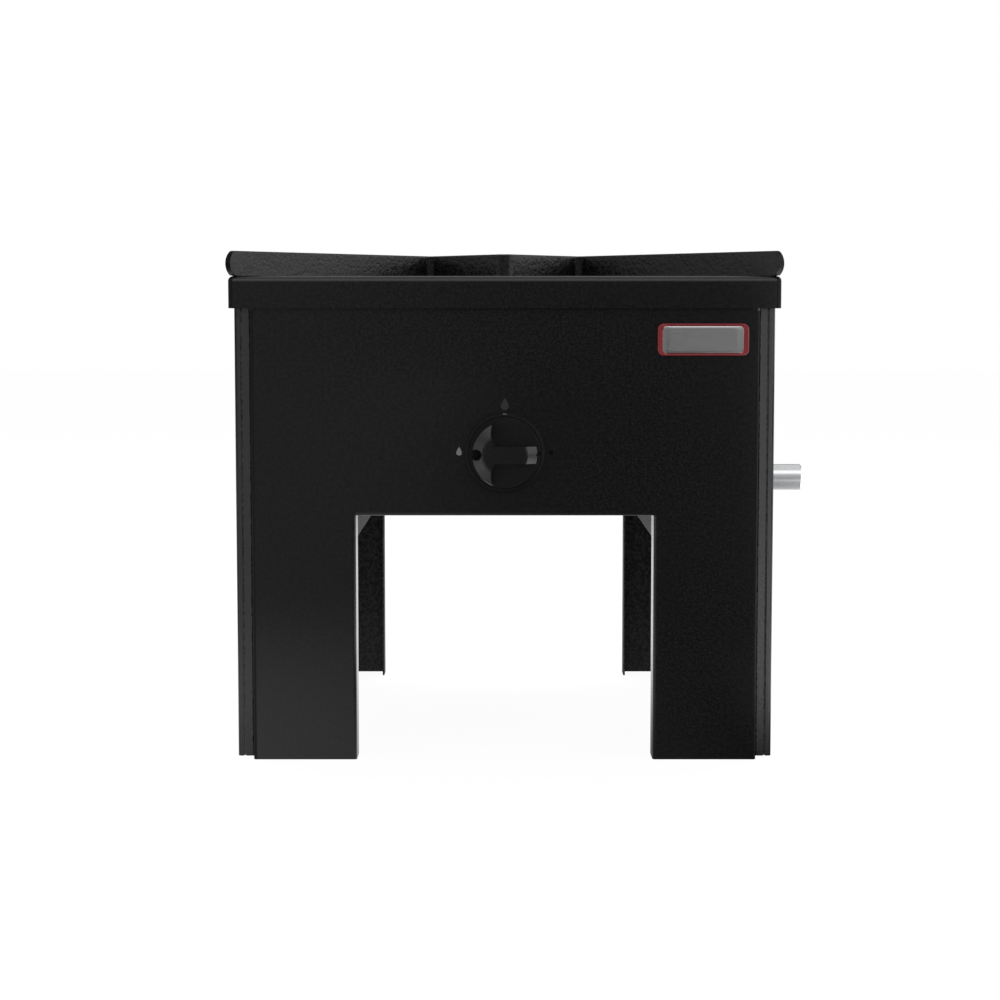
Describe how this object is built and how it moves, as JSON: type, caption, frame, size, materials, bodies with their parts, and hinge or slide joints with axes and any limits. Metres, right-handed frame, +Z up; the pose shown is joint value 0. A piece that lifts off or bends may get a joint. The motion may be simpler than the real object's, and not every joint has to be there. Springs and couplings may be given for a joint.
{
  "type": "propane burner stand",
  "caption": "Low square propane burner stand in black sheet steel on four legs, with a drip tray, a loose cast grate and a tap knob on the front",
  "frame": {"origin": "on the floor, under the middle of the body", "axes": "+X is the viewer's right, +Y is the rear, +Z is up; the knob faces -Y"},
  "size_m": [0.4331, 0.4392, 0.3765],
  "materials": {
    "black_powder_coat": "fine textured black powder coat on folded steel sheet",
    "black_cast_iron": "black enamelled cast iron with a grained casting skin",
    "bare_cast_iron": "grey cast iron, lightly oiled",
    "galvanised_steel": "zinc plated steel sheet",
    "zinc_plated": "bright zinc plated steel",
    "silver_tube": "satin drawn steel tube",
    "brass": "turned brass",
    "copper": "soft drawn copper tube",
    "black_plastic": "satin black heat-resistant plastic"
  },
  "bodies": {
    "stand": {"front_panel": "black_powder_coat", "rear_panel": "black_powder_coat", "left_panel": "black_powder_coat", "right_panel": "black_powder_coat", "front_left_post": "black_powder_coat", "front_right_post": "black_powder_coat", "rear_left_post": "black_powder_coat", "rear_right_post": "black_powder_coat", "top_tray": "black_powder_coat", "left_rail": "black_powder_coat", "right_rail": "black_powder_coat", "front_strap": "galvanised_steel", "rear_strap": "galvanised_steel", "strap_bolts": "zinc_plated", "strap_nuts": "zinc_plated", "burner_body": "bare_cast_iron", "burner_bolts": "zinc_plated", "mixing_tube": "bare_cast_iron", "injector_bracket": "galvanised_steel", "injector_bracket_screws": "zinc_plated", "injector_holder": "brass", "injector_lock_nut": "brass", "injector": "brass", "injector_feed_nut": "brass", "feed_tube": "copper", "tap_feed_nut": "brass", "manifold": "silver_tube", "manifold_end_plug": "zinc_plated", "manifold_stand": "galvanised_steel", "manifold_stand_screws": "zinc_plated", "rail_nuts": "zinc_plated", "tap_body": "brass", "tap_clamp": "galvanised_steel", "tap_clamp_bolts": "zinc_plated", "tap_bonnet": "zinc_plated", "tap_bonnet_screws": "zinc_plated", "magnet_unit": "brass", "thermocouple": "copper", "thermocouple_bracket": "galvanised_steel", "knob_bezel": "black_plastic"},
    "plug": {"tap_plug": "brass", "stem_spring": "zinc_plated"},
    "knob": {"knob": "black_plastic", "tap_stem": "zinc_plated"},
    "grate": {"grate": "black_cast_iron"},
    "cap": {"burner_cap": "bare_cast_iron"},
    "shutter": {"air_shutter": "galvanised_steel"}
  },
  "joints": [
    {"name": "tap_turn", "type": "hinge", "parent": "stand", "child": "plug", "pos_m": [0, -0.1685, 0.2289], "axis": [0, -1, 0], "range_deg": [0, 180]},
    {"name": "knob_push", "type": "slide", "parent": "plug", "child": "knob", "axis": [0, 1, 0], "range_m": [0, 0.003], "stiffness_N_per_m": 2000, "springref_m": -0.003, "deforming": ["stem_spring"]},
    {"name": "grate_lift", "type": "slide", "parent": "stand", "child": "grate", "axis": [0, 0, 1], "range_m": [0, 0.06]},
    {"name": "cap_lift", "type": "slide", "parent": "stand", "child": "cap", "axis": [0, 0, 1], "range_m": [0, 0.03]},
    {"name": "shutter_slide", "type": "slide", "parent": "stand", "child": "shutter", "axis": [1, 0, 0], "range_m": [0, 0.012]}
  ]
}
